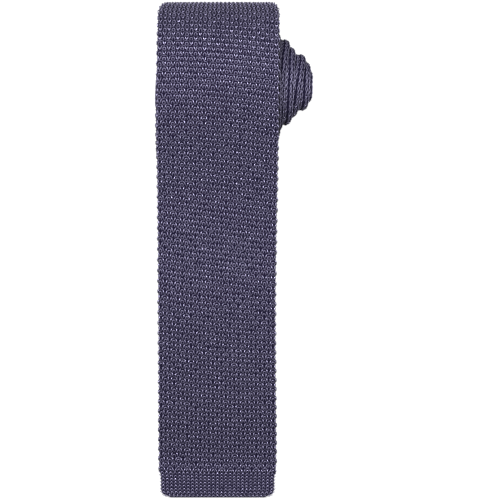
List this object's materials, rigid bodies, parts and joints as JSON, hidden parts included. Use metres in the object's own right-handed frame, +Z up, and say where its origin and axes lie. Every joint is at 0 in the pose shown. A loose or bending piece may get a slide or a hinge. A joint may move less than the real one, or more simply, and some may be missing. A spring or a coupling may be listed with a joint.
{
  "type": "rolled knit tie",
  "caption": "Square-ended knit necktie, rolled from its narrow end, with the wide blade drawn out over the roll and sloping down to its plain-knit tip.",
  "frame": {"origin": "middle of the flat patch on which the roll rests, under the roll's axis and at the middle of the blade's width", "axes": "+X along the roll's axis, to the side where its inner turns stand out; +Y from the blade's tip to the roll; +Z up"},
  "size_m": [0.0775, 0.2455, 0.0681],
  "materials": {
    "tuck_knit": "matt slate-purple yarn in a raised tuck-stitch knit, with a soft sheen on each loop",
    "plain_knit": "the same yarn in a smooth plain (jersey) knit"
  },
  "bodies": {
    "root": {"blade_hem": "plain_knit", "blade": "tuck_knit", "neck_band": "tuck_knit", "tail": "tuck_knit", "tail_hem": "plain_knit"}
  },
  "joints": []
}
